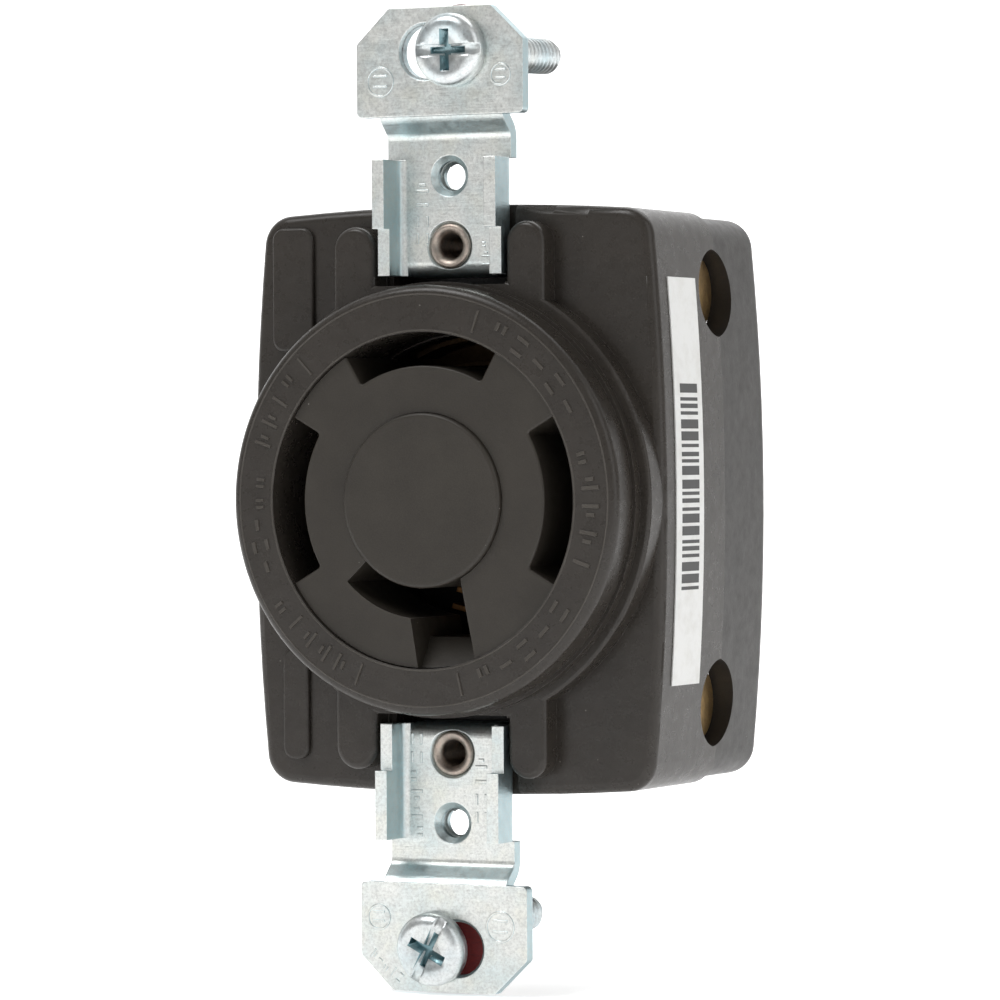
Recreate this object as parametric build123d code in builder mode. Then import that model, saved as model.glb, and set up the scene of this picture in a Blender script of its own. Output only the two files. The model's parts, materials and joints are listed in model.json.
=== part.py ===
"""Flush locking receptacle, four poles, 20 A: two moulded shells, a slotted face and two steel mounting ears.

Millimetres. +X is right, +Y goes into the wall, +Z is up. The origin is on the axis of the round face,
in the plane of the wall box, which is the rear face of the two mounting ears.
"""

from build123d import *
from math import cos, radians, sin
import os

os.makedirs("parts", exist_ok=True)

# ---------------------------------------------------------------- driving dimensions
# Depths, measured along +Y from the plane of the wall box
core_face_y = -5.55
face_y = -5.4
insert_face_y = -5.0
shoulder_y = -2.0
collar_y = -0.95
low_pad_y = 0.95
body_front_y = 1.45
parting_y = 15.4
body_rear_y = 26.6

# Moulded body
front_half_width = 21.45
front_half_height = 27.5
shell_step = 0.38
side_bow = 1.4
end_bow = 0.8
corner_radius = 2.9
front_edge_radius = 0.9
rear_edge_radius = 1.5
shell_wall = 2.2
front_wall = 2.5
cavity_front_y = body_front_y + front_wall
cavity_rear_y = body_rear_y - shell_wall

# Hollow inside the shells
cavity_corner_radius = 1.5
pocket_block_wall = 1.8

# Round face
face_radius = 19.9
shoulder_radius = 20.25
collar_radius = 21.25
face_edge_radius = 0.9
collar_edge_radius = 0.35
insert_bore_radius = 15.55
insert_radius = 15.45
insert_flange_radius = 16.6
insert_rear_y = 5.2
core_radius = 8.1
core_bore_radius = 8.16
core_stem_radius = 6.0
core_edge_radius = 0.35

# Blade slots
slot_inner_radius = 12.45
slot_outer_radius = 15.6
slot_half_angle = 29.8
slot_angles = (0, 91, 180)
slot_corner_radius = 0.3
neutral_outer_radius = 10.95
neutral_start_angle = 223.5
neutral_end_angle = 292
neutral_leg_left = ((-1.34, -10.9), (-0.55, -15.7))
neutral_leg_right = ((3.69, -7.0), (5.44, -15.7))
neutral_leg_top = (0, -7.6)
ramp_inner_z = -12.7
ramp_inner_y = -1.4
ramp_outer_y = -4.3
ramp_overlap = 0.6
slot_edge_radius = 0.22

# Mounting ears, one steel stamping at each end
steel = 1.2
box_slot_z = 41.67
box_slot_length = 7.94
box_slot_width = 4.95
ear_half_width = 8.63
ear_top_z = 45.8
ear_top_half_width = 5.25
ear_corner_z = 42.55
ear_inner_z = 35.7
neck_half_width = 6.4
plate_front_y = 0.8
plate_mid_y = plate_front_y + steel / 2
bend_start_z = 36.0
bend_end_z = 34.2
bend_radius = 1.5
channel_radius = 1.4
flange_top_z = 31.7
flange_step_z = 25.25
flange_bottom_z = 20.9
tall_flange_y = -2.55
low_flange_y = -1.4
cover_hole_z = 30.16
cover_hole_radius = 1.4
cover_countersink_radius = 1.95
cover_collar_radius = 2.1
cover_collar_length = 1.1
tab_half_width = 4.4
tab_z = 21.4
tab_rear_y = 5.8
tab_radius = 0.8
tab_relief = 1.6
ear_edge_radius = 0.5
box_slot_chamfer = 0.25

# Tubular eyelets that clamp ear, front shell and rear shell
eyelet_z = 23.64
eyelet_radius = 1.6
eyelet_bore_radius = 1.15
eyelet_rear_radius = 2.5
eyelet_rear_y = 26.2
eyelet_flange = 0.5
eyelet_crest = (1.68, 0.72)
eyelet_lip = (2.12, 1.0)
eyelet_mouth_y = 1.6
eyelet_neck_y = 1.52
eyelet_boss_radius = 3.4
eyelet_hole_radius = 1.66
ear_eyelet_hole_radius = 1.75
ear_eyelet_sink_radius = 2.36

# Channel for the ears and the pocket for their tabs
channel_floor_y = plate_front_y + steel
channel_left_x = -6.95
channel_right_x = 6.55
pocket_half_width = 6.5
pocket_inner_z = 19.95
pocket_outer_z = 22.6
pocket_floor_y = 6.3

# Ribs beside the channel: centre X, radius, upper end or lower end
rib_pads = ((-9.25, 2.2, 25.55), (8.55, 1.95, 25.75), (-9.25, 2.2, -25.25), (8.55, 1.95, -25.75))
rib_inner_z = 14.0
rib_edge_radius = 0.55

# Low pads at the left edge: centre X, width, lower end, upper end
low_pads = ((-16.8, 4.4, 14.0, 25.7), (-16.7, 2.8, -24.6, -14.0))
low_pad_corner_radius = 1.2
low_pad_edge_radius = 0.3

# Terminals: screw axes run along X at the parting plane
terminal_z = 19.25
side_hole_radius = 4.15
plate_inner_x = 12.0
plate_outer_x = 13.6
clamp_inner_x = 14.9
clamp_thickness = 1.0
clamp_depth = 8.4
clamp_height = 7.4
clamp_corner_radius = 0.8
clamp_groove_radius = 0.9
clamp_groove_offset = 0.55
screw_head_x = 18.55
screw_head_thickness = 2.6
screw_head_radius = 3.85
screw_shank_radius = 2.0
screw_tip_x = 10.2
screw_tip_chamfer = 0.35
screw_head_chamfer = 0.3
screw_slot_width = 1.15
screw_slot_depth = 0.95
terminal_hole_radius = 2.05
clamp_hole_radius = 2.09
terminal_front_y = 9.5
terminal_rear_y = 20.1
terminal_low_z = 15.6
terminal_high_z = 23.0
terminal_rest_width = 2.5
wire_hole_radius = 1.4
wire_hole_x = 15.05
wire_hole_offset = 3.1
wire_funnel = 0.5

# Contacts
contact_front_y = 7.4
contact_base_y = 11.5
brass = 0.6
leaf = 0.5
contact_half_angle = 26
neutral_contact_angles = (252, 290)
carrier_width = 33.0
carrier_height = 29.2
carrier_corner_radius = 2.0
carrier_front_y = contact_base_y + brass
carrier_rear_y = 15.5
leg_radius = 1.5
leg_circle_radius = 14.0

# Flat tails from each pair of leaves to its terminal, as (x, z) corners
upper_tail = ((-3.2, 13.4), (-6.4, 11.8), (-13.4, 15.7), (-13.4, 18.6), (-5.6, 14.3))
right_tail = ((15.3, 2.0), (12.6, 4.0), (12.3, 16.4), (13.4, 16.4), (15.0, 12.0))
left_tail = tuple((-x, -z) for x, z in right_tail)
neutral_tail = ((0.8, -9.8), (3.6, -9.4), (13.4, -15.7), (13.4, -18.4), (2.2, -10.9))

# Mounting screws, 6-32 with pan heads, and the fibre washers that hold them in the ears
upper_screw_x = 1.5
lower_screw_x = -0.77
upper_screw_tilt = 2.0
lower_screw_tilt = 5.0
pan_head_radius = 3.43
pan_head_height = 1.75
mounting_shank_radius = 1.72
pan_head_edge_radius = 1.05
mounting_screw_length = 20.6
mounting_tip_radius = 1.2
head_gap = 0.06
drive_slot_width = 1.0
drive_slot_depth = 0.75
cross_length = 3.9
cross_width = 0.95
cross_depth = 1.25
cross_taper = 12
upper_drive_angle = 0
lower_drive_angle = 62
washer_radius = 4.3
washer_thickness = 0.8
washer_hole_radius = 1.8

# Label on the right-hand side
label_thickness = 0.12
label_front_y = 4.2
label_rear_y = 10.3
label_low_z = -17.2
label_high_z = 20.5


# ---------------------------------------------------------------- shared shapes
def at_depth(y):
    """Plane across the face at depth y, seen from the front: X to the right, Z up, normal towards -Y."""
    return Plane.XZ.offset(-y)


def body_outline(half_width, half_height, radius):
    """Rounded rectangle whose four sides bow outwards."""
    corner_x = half_width - side_bow
    corner_z = half_height - end_bow
    with BuildSketch() as outline:
        with BuildLine():
            ThreePointArc((-corner_x, corner_z), (0, half_height), (corner_x, corner_z))
            ThreePointArc((corner_x, corner_z), (half_width, 0), (corner_x, -corner_z))
            ThreePointArc((corner_x, -corner_z), (0, -half_height), (-corner_x, -corner_z))
            ThreePointArc((-corner_x, -corner_z), (-half_width, 0), (-corner_x, corner_z))
        make_face()
        fillet(outline.vertices(), radius)
    return outline.sketch


def ring_sector(inner_radius, outer_radius, start_angle, end_angle):
    """Part of a flat ring between two angles, in degrees from +X."""
    sweep_angle = end_angle - start_angle
    with BuildSketch() as sector:
        with BuildLine():
            outer = CenterArc((0, 0), outer_radius, start_angle, sweep_angle)
            inner = CenterArc((0, 0), inner_radius, start_angle, sweep_angle)
            Line(outer @ 0, inner @ 0)
            Line(outer @ 1, inner @ 1)
        make_face()
    return sector.sketch


def blade_slot(angle):
    """Arc slot for one blade, open at the rim, with rounded inner corners."""
    with BuildSketch() as slot:
        start_angle = angle - slot_half_angle
        add(ring_sector(slot_inner_radius, slot_outer_radius, start_angle, start_angle + 2 * slot_half_angle))
        fillet(slot.vertices().sort_by_distance((0, 0))[:2], slot_corner_radius)
    return slot.sketch


def neutral_slot():
    """L-shaped slot: an arc along the core and a leg that runs out to the rim."""
    with BuildSketch() as slot:
        add(ring_sector(core_radius - 0.4, neutral_outer_radius, neutral_start_angle, neutral_end_angle))
        with BuildLine():
            Polyline(*neutral_leg_left, *reversed(neutral_leg_right), neutral_leg_top, close=True)
        make_face()
        Circle(slot_outer_radius, mode=Mode.INTERSECT)
    return slot.sketch


def save(piece, name):
    """Label a finished piece and write its STEP file."""
    piece.part.label = name
    export_step(piece.part, f"parts/{name}.step")


# ---------------------------------------------------------------- front shell
with BuildPart() as front_housing:
    with BuildSketch(at_depth(parting_y)):
        add(body_outline(front_half_width, front_half_height, corner_radius))
    extrude(amount=parting_y - body_front_y)
    fillet(front_housing.faces().sort_by(Axis.Y)[0].edges(), front_edge_radius)

    # Hollow behind the front wall
    with BuildSketch(at_depth(parting_y)):
        add(body_outline(front_half_width - shell_wall, front_half_height - shell_wall, cavity_corner_radius))
    extrude(amount=parting_y - cavity_front_y, mode=Mode.SUBTRACT)

    # Low pads at the left edge
    for pad_x, pad_width, pad_low_z, pad_high_z in low_pads:
        with BuildSketch(at_depth(body_front_y)):
            with Locations((pad_x, (pad_low_z + pad_high_z) / 2)):
                RectangleRounded(pad_width, pad_high_z - pad_low_z, low_pad_corner_radius)
        extrude(amount=body_front_y - low_pad_y)
    pad_faces = front_housing.faces().filter_by_position(Axis.Y, low_pad_y - 0.01, low_pad_y + 0.01)
    fillet(pad_faces.edges(), low_pad_edge_radius)

    # Full-round ribs that flank the ears
    for rib_x, rib_radius, rib_end_z in rib_pads:
        inner_end_z = rib_inner_z if rib_end_z > 0 else -rib_inner_z
        round_z = rib_end_z - rib_radius if rib_end_z > 0 else rib_end_z + rib_radius
        with BuildSketch(at_depth(body_front_y)):
            with Locations((rib_x, (round_z + inner_end_z) / 2)):
                SlotCenterToCenter(abs(round_z - inner_end_z), 2 * rib_radius, rotation=90)
        extrude(amount=body_front_y - collar_y)
    rib_faces = front_housing.faces().filter_by_position(Axis.Y, collar_y - 0.01, collar_y + 0.01)
    fillet(rib_faces.edges(), rib_edge_radius)

    # Collar, shoulder and round face, turned about the face axis
    with BuildSketch(Plane.XY) as face_profile:
        with BuildLine():
            Polyline(
                (0, cavity_front_y),
                (collar_radius, cavity_front_y),
                (collar_radius, collar_y),
                (shoulder_radius, collar_y),
                (shoulder_radius, shoulder_y),
                (face_radius, shoulder_y),
                (face_radius, face_y),
                (0, face_y),
                close=True,
            )
        make_face()
        rim = face_profile.vertices().group_by(Axis.Y)
        fillet(rim[0].sort_by(Axis.X)[-1], face_edge_radius)
        fillet(face_profile.vertices().sort_by_distance((collar_radius, collar_y))[0], collar_edge_radius)
    revolve(axis=Axis.Y)

    # Blocks inside, behind the channel, and bosses around the eyelets
    for side in (1, -1):
        with BuildSketch(at_depth(cavity_front_y)):
            block_inner_z = pocket_inner_z - pocket_block_wall
            block_outer_z = front_half_height - shell_wall
            with Locations((0, side * (block_inner_z + block_outer_z) / 2)):
                Rectangle(2 * (pocket_half_width + pocket_block_wall), block_outer_z - block_inner_z)
        extrude(amount=-(pocket_floor_y + front_wall - cavity_front_y))
        with BuildSketch(at_depth(parting_y)):
            with Locations((0, side * eyelet_z)):
                Circle(eyelet_boss_radius)
        extrude(amount=parting_y - cavity_front_y)

    # Channel, pocket and eyelet hole at each end
    for side in (1, -1):
        channel_centre_z = side * (pocket_inner_z + front_half_height + 2) / 2
        with BuildSketch(at_depth(channel_floor_y)):
            with Locations(((channel_left_x + channel_right_x) / 2, channel_centre_z)):
                Rectangle(channel_right_x - channel_left_x, front_half_height + 2 - pocket_inner_z)
        extrude(amount=channel_floor_y - collar_y + 0.5, mode=Mode.SUBTRACT)
        with BuildSketch(at_depth(pocket_floor_y)):
            with Locations((0, side * (pocket_inner_z + pocket_outer_z) / 2)):
                Rectangle(2 * pocket_half_width, pocket_outer_z - pocket_inner_z)
        extrude(amount=pocket_floor_y - collar_y + 0.5, mode=Mode.SUBTRACT)
        with BuildSketch(at_depth(parting_y)):
            with Locations((0, side * eyelet_z)):
                Circle(eyelet_hole_radius)
        extrude(amount=parting_y, mode=Mode.SUBTRACT)

    # Bore for the slotted face
    with BuildSketch(at_depth(cavity_front_y + 0.1)):
        Circle(insert_bore_radius)
    extrude(amount=cavity_front_y + 0.1 - face_y, mode=Mode.SUBTRACT)

    # Front half of each side hole
    with BuildSketch(Plane.YZ):
        with Locations((parting_y, terminal_z), (parting_y, -terminal_z)):
            Circle(side_hole_radius)
    extrude(amount=front_half_width + 1, both=True, mode=Mode.SUBTRACT)

    # Only the part in front of the parting plane stays
    split(bisect_by=at_depth(parting_y), keep=Keep.TOP)

save(front_housing, "front_housing")

# ---------------------------------------------------------------- rear shell
rear_half_width = front_half_width - shell_step
rear_half_height = front_half_height - shell_step

with BuildPart() as rear_housing:
    with BuildSketch(at_depth(body_rear_y)):
        add(body_outline(rear_half_width, rear_half_height, corner_radius))
    extrude(amount=body_rear_y - parting_y)
    fillet(rear_housing.faces().sort_by(Axis.Y)[-1].edges(), rear_edge_radius)
    with BuildSketch(at_depth(cavity_rear_y)):
        add(body_outline(rear_half_width - shell_wall, rear_half_height - shell_wall, cavity_corner_radius))
    extrude(amount=cavity_rear_y - parting_y, mode=Mode.SUBTRACT)

    # Side holes, rear half
    with BuildSketch(Plane.YZ):
        with Locations((parting_y, terminal_z), (parting_y, -terminal_z)):
            Circle(side_hole_radius)
    extrude(amount=front_half_width + 1, both=True, mode=Mode.SUBTRACT)

    # Pedestal for the contact carrier and rests for the terminal plates
    with BuildSketch(at_depth(cavity_rear_y)):
        Circle(core_radius)
    extrude(amount=cavity_rear_y - carrier_rear_y)
    with BuildSketch(at_depth(cavity_rear_y)):
        with GridLocations(plate_inner_x + plate_outer_x, terminal_low_z + terminal_high_z, 2, 2):
            Rectangle(terminal_rest_width, terminal_high_z - terminal_low_z)
    extrude(amount=cavity_rear_y - terminal_rear_y)

    # Bosses, holes and counterbores for the eyelets
    with BuildSketch(at_depth(cavity_rear_y)):
        with Locations((0, eyelet_z), (0, -eyelet_z)):
            Circle(eyelet_boss_radius)
    extrude(amount=cavity_rear_y - parting_y)
    with BuildSketch(at_depth(body_rear_y)):
        with Locations((0, eyelet_z), (0, -eyelet_z)):
            Circle(eyelet_hole_radius)
    extrude(amount=body_rear_y - parting_y, mode=Mode.SUBTRACT)
    with BuildSketch(at_depth(body_rear_y)):
        with Locations((0, eyelet_z), (0, -eyelet_z)):
            Circle(eyelet_rear_radius + 0.5)
    extrude(amount=body_rear_y - eyelet_rear_y + 0.5, mode=Mode.SUBTRACT)

    # Two wire entries behind each terminal, with funnel mouths
    for wire_z in (terminal_z - wire_hole_offset, terminal_z + wire_hole_offset):
        for place in GridLocations(2 * wire_hole_x, 2 * wire_z, 2, 2):
            with Locations(at_depth(body_rear_y).location * Rot(0, 180, 0) * place):
                CounterSinkHole(wire_hole_radius, wire_hole_radius + wire_funnel, shell_wall + 1, 90)

save(rear_housing, "rear_housing")

# ---------------------------------------------------------------- slotted face
with BuildPart() as face_insert:
    with BuildSketch(at_depth(insert_rear_y)):
        Circle(insert_radius)
        Circle(core_bore_radius, mode=Mode.SUBTRACT)
        for angle in slot_angles:
            add(blade_slot(angle), mode=Mode.SUBTRACT)
        add(neutral_slot(), mode=Mode.SUBTRACT)
    extrude(amount=insert_rear_y - insert_face_y)

    # Ramp at the outer end of the L-shaped slot
    ramp_width = neutral_leg_right[1][0] - neutral_leg_left[1][0] + 2 * ramp_overlap
    ramp_centre_x = (neutral_leg_right[1][0] + neutral_leg_left[1][0]) / 2
    with BuildSketch(Plane.YZ.offset(ramp_centre_x)):
        with BuildLine():
            Polyline(
                (ramp_inner_y, ramp_inner_z),
                (ramp_outer_y, -insert_radius - 0.1),
                (insert_rear_y, -insert_radius - 0.1),
                (insert_rear_y, ramp_inner_z),
                close=True,
            )
        make_face()
    extrude(amount=ramp_width / 2, both=True)
    with BuildSketch(at_depth(insert_rear_y)):
        Circle(insert_radius)
    extrude(amount=insert_rear_y - insert_face_y, mode=Mode.INTERSECT)
    front_edges = face_insert.edges().filter_by_position(Axis.Y, insert_face_y - 0.01, insert_face_y + 0.01)
    upper_edges = front_edges.filter_by(lambda edge: edge.center().Z > neutral_leg_left[0][1])
    face_centre = Vector(0, insert_face_y, 0)
    slot_edges = [
        edge
        for edge in upper_edges
        if neutral_outer_radius + 0.1 < (edge @ 0.5 - face_centre).length < insert_radius - 0.1
    ]
    fillet(slot_edges, slot_edge_radius)

    # Flange behind the front wall, and four legs down to the contact carrier
    with BuildSketch(at_depth(insert_rear_y)):
        Circle(insert_flange_radius)
        Circle(insert_radius - 0.03, mode=Mode.SUBTRACT)
    extrude(amount=insert_rear_y - cavity_front_y - 0.1)
    with BuildSketch(at_depth(carrier_front_y)):
        with PolarLocations(leg_circle_radius, 4, start_angle=45):
            Circle(leg_radius)
    extrude(amount=carrier_front_y - insert_rear_y)

save(face_insert, "face_insert")

# ---------------------------------------------------------------- centre post
with BuildPart() as centre_core:
    with BuildSketch(at_depth(insert_rear_y)):
        Circle(core_radius)
    extrude(amount=insert_rear_y - core_face_y)
    fillet(centre_core.faces().sort_by(Axis.Y)[0].edges(), core_edge_radius)
    with BuildSketch(at_depth(carrier_front_y)):
        Circle(core_stem_radius)
    extrude(amount=carrier_front_y - insert_rear_y)

save(centre_core, "centre_core")

# ---------------------------------------------------------------- contact carrier
with BuildPart() as contact_carrier:
    with BuildSketch(at_depth(carrier_rear_y)):
        RectangleRounded(carrier_width, carrier_height, carrier_corner_radius)
    extrude(amount=carrier_rear_y - carrier_front_y)

save(contact_carrier, "contact_carrier")


# ---------------------------------------------------------------- contacts
def span_about(angle):
    """Start and end angle of the leaves behind an arc slot."""
    return (angle - contact_half_angle, angle + contact_half_angle)


def contact(name, leaf_radii, angles, tail_points, side_x, side_z):
    """Brass contact: two curved leaves on a base, a tail and a tapped plate for the terminal screw."""
    inner_radius, outer_radius = leaf_radii
    start_angle, end_angle = angles
    with BuildPart() as piece:
        with BuildSketch(at_depth(carrier_front_y)):
            add(ring_sector(inner_radius, outer_radius, start_angle, end_angle))
            with BuildLine():
                Polyline(*tail_points, close=True)
            make_face()
        extrude(amount=brass)
        with BuildSketch(at_depth(contact_base_y)):
            add(ring_sector(inner_radius, inner_radius + leaf, start_angle, end_angle))
            add(ring_sector(outer_radius - leaf, outer_radius, start_angle, end_angle))
        extrude(amount=contact_base_y - contact_front_y)
        plate_x = side_x * (plate_inner_x + plate_outer_x) / 2
        plate_y = (terminal_front_y + terminal_rear_y) / 2
        plate_z = side_z * (terminal_low_z + terminal_high_z) / 2
        with BuildSketch(Plane.YZ.offset(plate_x)):
            with Locations((plate_y, plate_z)):
                Rectangle(terminal_rear_y - terminal_front_y, terminal_high_z - terminal_low_z)
            with Locations((parting_y, side_z * terminal_z)):
                Circle(terminal_hole_radius, mode=Mode.SUBTRACT)
        extrude(amount=(plate_outer_x - plate_inner_x) / 2, both=True)
    save(piece, name)


arc_leaves = (slot_inner_radius + 0.1, slot_outer_radius - 0.15)
neutral_leaves = (core_radius + 0.6, neutral_outer_radius - 0.1)
left_angle, upper_angle, right_angle = slot_angles[2], slot_angles[1], slot_angles[0]
contact("upper_contact", arc_leaves, span_about(upper_angle), upper_tail, -1, 1)
contact("left_contact", arc_leaves, span_about(left_angle), left_tail, -1, -1)
contact("right_contact", arc_leaves, span_about(right_angle), right_tail, 1, 1)
contact("neutral_contact", neutral_leaves, neutral_contact_angles, neutral_tail, 1, -1)

# ---------------------------------------------------------------- wire clamps and terminal screws
for side_name, side_x in (("left", -1), ("right", 1)):
    for end_name, side_z in (("upper", 1), ("lower", -1)):
        clamp_mid_x = side_x * (clamp_inner_x + clamp_thickness / 2)
        with BuildPart() as wire_clamp:
            with BuildSketch(Plane.YZ.offset(clamp_mid_x)):
                with Locations((parting_y, side_z * terminal_z)):
                    RectangleRounded(clamp_depth, clamp_height, clamp_corner_radius)
                    Circle(clamp_hole_radius, mode=Mode.SUBTRACT)
            extrude(amount=clamp_thickness / 2, both=True)
            # Grooves that the two wires lie in
            for offset_z in (-wire_hole_offset, wire_hole_offset):
                groove_x = side_x * (clamp_inner_x - clamp_groove_offset)
                with BuildSketch(at_depth(parting_y)):
                    with Locations((groove_x, side_z * terminal_z + offset_z)):
                        Circle(clamp_groove_radius)
                extrude(amount=clamp_depth, both=True, mode=Mode.SUBTRACT)
        save(wire_clamp, f"{end_name}_{side_name}_wire_clamp")

        outward = Plane((0, parting_y, side_z * terminal_z), x_dir=(0, 0, 1), z_dir=(side_x, 0, 0))
        with BuildPart() as terminal_screw:
            with BuildSketch(outward.offset(screw_tip_x)):
                Circle(screw_shank_radius)
            extrude(amount=screw_head_x - screw_head_thickness - screw_tip_x)
            tip_face = terminal_screw.faces().sort_by(Axis.X)[0 if side_x > 0 else -1]
            chamfer(tip_face.edges(), screw_tip_chamfer)
            with BuildSketch(outward.offset(screw_head_x - screw_head_thickness)):
                Circle(screw_head_radius)
            extrude(amount=screw_head_thickness)
            head_face = terminal_screw.faces().sort_by(Axis.X)[-1 if side_x > 0 else 0]
            chamfer(head_face.edges(), screw_head_chamfer)
            with BuildSketch(outward.offset(screw_head_x)):
                Rectangle(2 * screw_head_radius + 1, screw_slot_width)
            extrude(amount=-screw_slot_depth, mode=Mode.SUBTRACT)
        save(terminal_screw, f"{end_name}_{side_name}_terminal_screw")


# ---------------------------------------------------------------- mounting ears
def mounting_ear(name, side):
    """Steel stamping: slotted ear, S-bend down to a channel with side flanges, and a tab in the pocket."""
    with BuildPart() as ear:
        with BuildSketch(at_depth(0)) as outline:
            with BuildLine():
                Polyline(
                    (-ear_half_width, side * ear_inner_z),
                    (-ear_half_width, side * ear_corner_z),
                    (-ear_top_half_width, side * ear_top_z),
                    (ear_top_half_width, side * ear_top_z),
                    (ear_half_width, side * ear_corner_z),
                    (ear_half_width, side * ear_inner_z),
                    close=True,
                )
            make_face()
            fillet(outline.vertices(), ear_edge_radius)
        extrude(amount=steel)
        with BuildSketch(Plane.YZ):
            with BuildLine():
                FilletPolyline(
                    (-steel / 2, side * (bend_start_z + 3)),
                    (-steel / 2, side * bend_start_z),
                    (plate_mid_y, side * bend_end_z),
                    (plate_mid_y, side * flange_top_z),
                    radius=bend_radius,
                )
            trace(line_width=steel)
        extrude(amount=neck_half_width, both=True)

        # Channel, with its flanges in two heights
        flange_x = neck_half_width - steel / 2
        runs = ((tall_flange_y, flange_step_z, flange_top_z), (low_flange_y, flange_bottom_z, flange_step_z))
        for flange_y, low_z, high_z in runs:
            with BuildSketch(Plane.XY.offset(side * low_z)):
                with BuildLine():
                    FilletPolyline(
                        (-flange_x, flange_y),
                        (-flange_x, plate_mid_y),
                        (flange_x, plate_mid_y),
                        (flange_x, flange_y),
                        radius=channel_radius,
                    )
                trace(line_width=steel)
            extrude(amount=side * (high_z - low_z))

        # Tab that hooks into the pocket of the front shell
        with BuildSketch(at_depth(channel_floor_y)):
            with Locations((0, side * (flange_bottom_z + tab_relief / 2 - 0.1))):
                Rectangle(2 * tab_half_width, tab_relief)
        extrude(amount=steel + 1, mode=Mode.SUBTRACT)
        with BuildSketch(Plane.YZ):
            with BuildLine():
                FilletPolyline(
                    (plate_mid_y, side * (flange_bottom_z + tab_relief)),
                    (plate_mid_y, side * tab_z),
                    (tab_rear_y, side * tab_z),
                    radius=tab_radius,
                )
            trace(line_width=steel)
        extrude(amount=tab_half_width, both=True)

        # Box mounting slot with a broken front edge
        with BuildSketch(at_depth(0)):
            with Locations((0, side * box_slot_z)):
                SlotOverall(box_slot_length, box_slot_width)
        extrude(amount=steel, mode=Mode.SUBTRACT)
        front_edges = ear.edges().filter_by_position(Axis.Y, -steel - 0.01, -steel + 0.01)
        slot_top_z = box_slot_z + box_slot_width / 2
        slot_centre = Vector(0, -steel, side * box_slot_z)
        near_slot = front_edges.filter_by(lambda edge: abs(edge.center().Z) < slot_top_z + 0.1)
        slot_reach = box_slot_length / 2 + 0.1
        slot_edges = [edge for edge in near_slot if (edge @ 0.5 - slot_centre).length < slot_reach]
        chamfer(slot_edges, box_slot_chamfer)

        # Collar drawn out behind the cover plate hole, its tapped bore, and the sunk hole for the eyelet
        with BuildSketch(at_depth(channel_floor_y + cover_collar_length)):
            with Locations((0, side * cover_hole_z)):
                Circle(cover_collar_radius)
        extrude(amount=cover_collar_length)
        front = at_depth(plate_front_y).location
        with Locations(front * Pos(0, side * cover_hole_z)):
            CounterSinkHole(cover_hole_radius, cover_countersink_radius, steel * 2, 90)
        with Locations(front * Pos(0, side * eyelet_z)):
            CounterSinkHole(ear_eyelet_hole_radius, ear_eyelet_sink_radius, steel * 2, 90)
    save(ear, name)


mounting_ear("upper_mounting_ear", 1)
mounting_ear("lower_mounting_ear", -1)

# ---------------------------------------------------------------- eyelets
for end_name, side in (("upper", 1), ("lower", -1)):
    with BuildPart() as eyelet:
        with BuildSketch(Plane.XY.offset(side * eyelet_z)):
            with BuildLine():
                Line((eyelet_bore_radius, eyelet_rear_y), (eyelet_bore_radius, eyelet_mouth_y))
                ThreePointArc((eyelet_bore_radius, eyelet_mouth_y), (1.3, 1.0), eyelet_crest)
                ThreePointArc(eyelet_crest, (2.04, 0.82), eyelet_lip)
                Line(eyelet_lip, (eyelet_radius, eyelet_neck_y))
                Polyline(
                    (eyelet_radius, eyelet_neck_y),
                    (eyelet_radius, eyelet_rear_y - eyelet_flange),
                    (eyelet_rear_radius, eyelet_rear_y - eyelet_flange),
                    (eyelet_rear_radius, eyelet_rear_y),
                    (eyelet_bore_radius, eyelet_rear_y),
                )
            make_face()
        revolve(axis=Axis((0, 0, side * eyelet_z), (0, 1, 0)))
    save(eyelet, f"{end_name}_eyelet")

# ---------------------------------------------------------------- mounting screws and their fibre washers
mounting = (
    ("upper", 1, upper_screw_x, upper_screw_tilt, upper_drive_angle),
    ("lower", -1, lower_screw_x, lower_screw_tilt, lower_drive_angle),
)
for end_name, side, screw_x, tilt, drive_angle in mounting:
    axis_direction = (0, -cos(radians(tilt)), -sin(radians(tilt)))
    tilt_lift = sin(radians(tilt))
    head_seat_y = -steel - head_gap - pan_head_radius * tilt_lift
    seat = Plane((screw_x, head_seat_y, side * box_slot_z), x_dir=(1, 0, 0), z_dir=axis_direction)
    with BuildPart() as mounting_screw:
        with BuildSketch(seat):
            Circle(pan_head_radius)
        extrude(amount=pan_head_height)
        fillet(mounting_screw.faces().sort_by(Axis.Y)[0].edges(), pan_head_edge_radius)
        with BuildSketch(seat):
            Circle(mounting_shank_radius)
        extrude(amount=-mounting_screw_length)
        fillet(mounting_screw.faces().sort_by(Axis.Y)[-1].edges(), mounting_tip_radius)
        # Combination drive: a slot across the head and a cross recess
        with BuildSketch(seat.offset(pan_head_height)):
            Rectangle(2 * pan_head_radius + 1, drive_slot_width, rotation=drive_angle)
        extrude(amount=-drive_slot_depth, mode=Mode.SUBTRACT)
        with BuildSketch(seat.offset(pan_head_height)):
            Rectangle(cross_length, cross_width, rotation=drive_angle)
            Rectangle(cross_width, cross_length, rotation=drive_angle)
        extrude(amount=-cross_depth, taper=cross_taper, mode=Mode.SUBTRACT)
    save(mounting_screw, f"{end_name}_mounting_screw")

    washer_lift = (washer_radius + washer_hole_radius) * tilt_lift
    washer_front = seat.offset(head_seat_y - head_gap - washer_lift)
    with BuildPart() as fibre_washer:
        with BuildSketch(washer_front):
            Circle(washer_radius)
            Circle(washer_hole_radius, mode=Mode.SUBTRACT)
        extrude(amount=-washer_thickness)
    save(fibre_washer, f"{end_name}_fibre_washer")

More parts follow.
